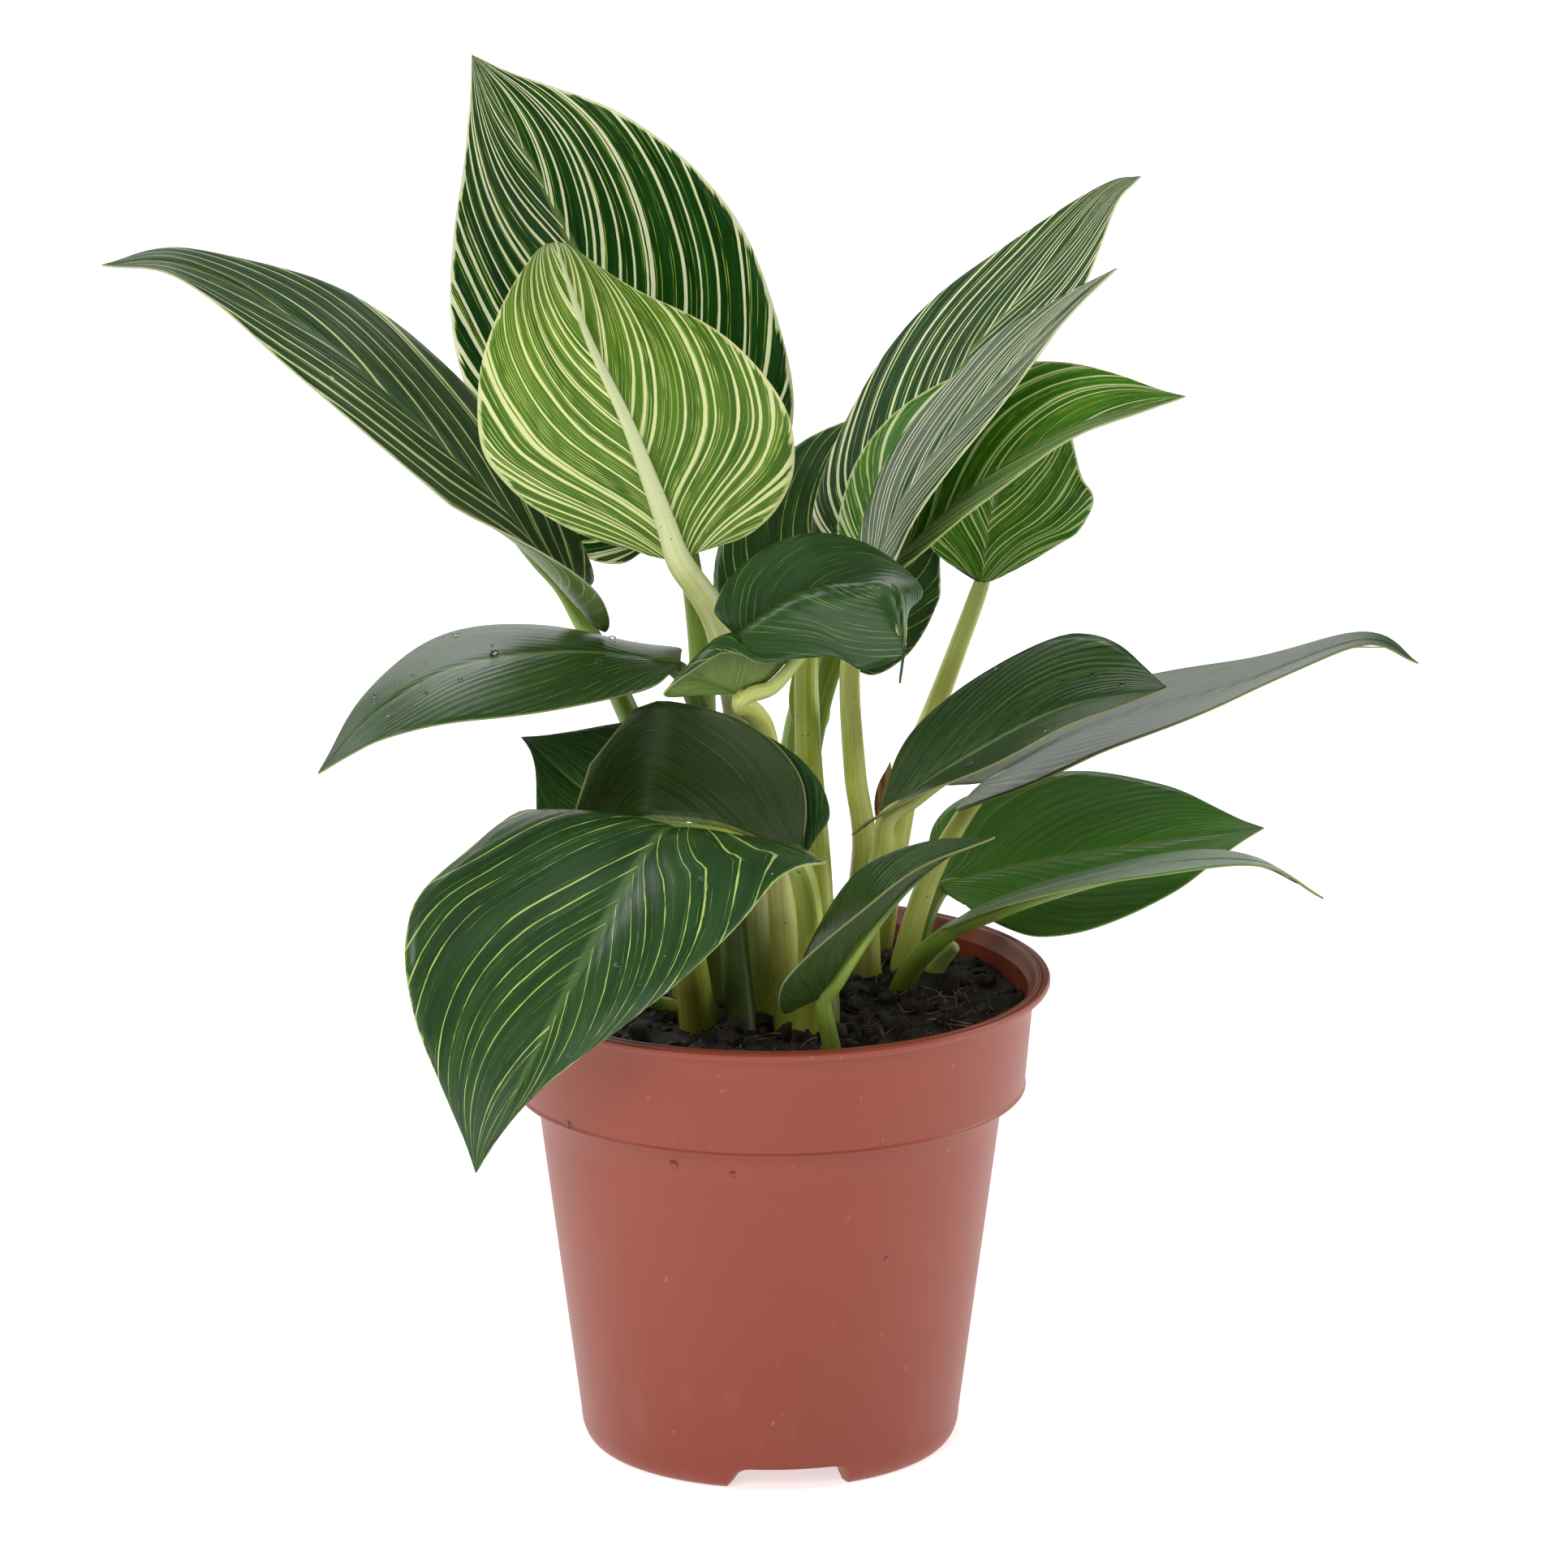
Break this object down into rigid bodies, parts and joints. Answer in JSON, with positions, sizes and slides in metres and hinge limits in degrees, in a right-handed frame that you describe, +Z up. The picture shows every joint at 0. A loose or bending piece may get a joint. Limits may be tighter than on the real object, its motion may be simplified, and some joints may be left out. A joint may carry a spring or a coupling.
{
  "type": "potted philodendron",
  "caption": "Leafy houseplant with cream-striped green leaves on slender stalks, growing from dark soil in a small round terracotta-coloured plastic nursery pot.",
  "frame": {"origin": "on the pot's axis, at the level of the surface the pot's feet stand on", "axes": "+Z up along the pot's axis, -Y towards the front of the plant, +X to the right seen from the front"},
  "size_m": [0.2791, 0.1503, 0.2981],
  "materials": {
    "pot_plastic": "satin terracotta-coloured moulded plastic",
    "soil": "dark damp peat compost",
    "striped_leaf": "glossy dark green leaf with cream stripes",
    "green_leaf": "glossy dark green leaf with few faint stripes",
    "pale_leaf": "cream underside of a leaf with green streaks",
    "stalk": "smooth yellow-green leaf stalk",
    "dry_sheath": "dry brown papery sheath"
  },
  "bodies": {
    "root": {"pot": "pot_plastic", "soil": "soil", "tall_back_leaf_blade": "striped_leaf", "pale_front_leaf_blade": "pale_leaf", "curled_centre_leaf_blade": "green_leaf", "long_left_leaf_blade": "striped_leaf", "arching_left_leaf_blade": "green_leaf", "rolled_inner_leaf_blade": "green_leaf", "hanging_front_leaf_blade": "green_leaf", "tall_right_leaf_blade": "striped_leaf", "narrow_right_leaf_blade": "striped_leaf", "pointed_right_leaf_blade": "striped_leaf", "small_back_leaf_blade": "striped_leaf", "dark_back_leaf_blade": "green_leaf", "upper_side_leaf_blade": "green_leaf", "long_side_leaf_blade": "green_leaf", "broad_side_leaf_blade": "green_leaf", "low_side_leaf_blade": "green_leaf", "small_front_leaf_blade": "green_leaf", "tall_back_leaf_stalk": "stalk", "pale_front_leaf_stalk": "stalk", "curled_centre_leaf_stalk": "stalk", "long_left_leaf_stalk": "stalk", "arching_left_leaf_stalk": "stalk", "rolled_inner_leaf_stalk": "stalk", "hanging_front_leaf_stalk": "stalk", "tall_right_leaf_stalk": "stalk", "narrow_right_leaf_stalk": "stalk", "pointed_right_leaf_stalk": "stalk", "small_back_leaf_stalk": "stalk", "dark_back_leaf_stalk": "stalk", "upper_side_leaf_stalk": "stalk", "long_side_leaf_stalk": "stalk", "broad_side_leaf_stalk": "stalk", "low_side_leaf_stalk": "stalk", "small_front_leaf_stalk": "stalk", "left_cut_stalk": "stalk", "right_cut_stalk": "stalk", "green_sheath": "stalk", "brown_sheath": "dry_sheath"}
  },
  "joints": []
}
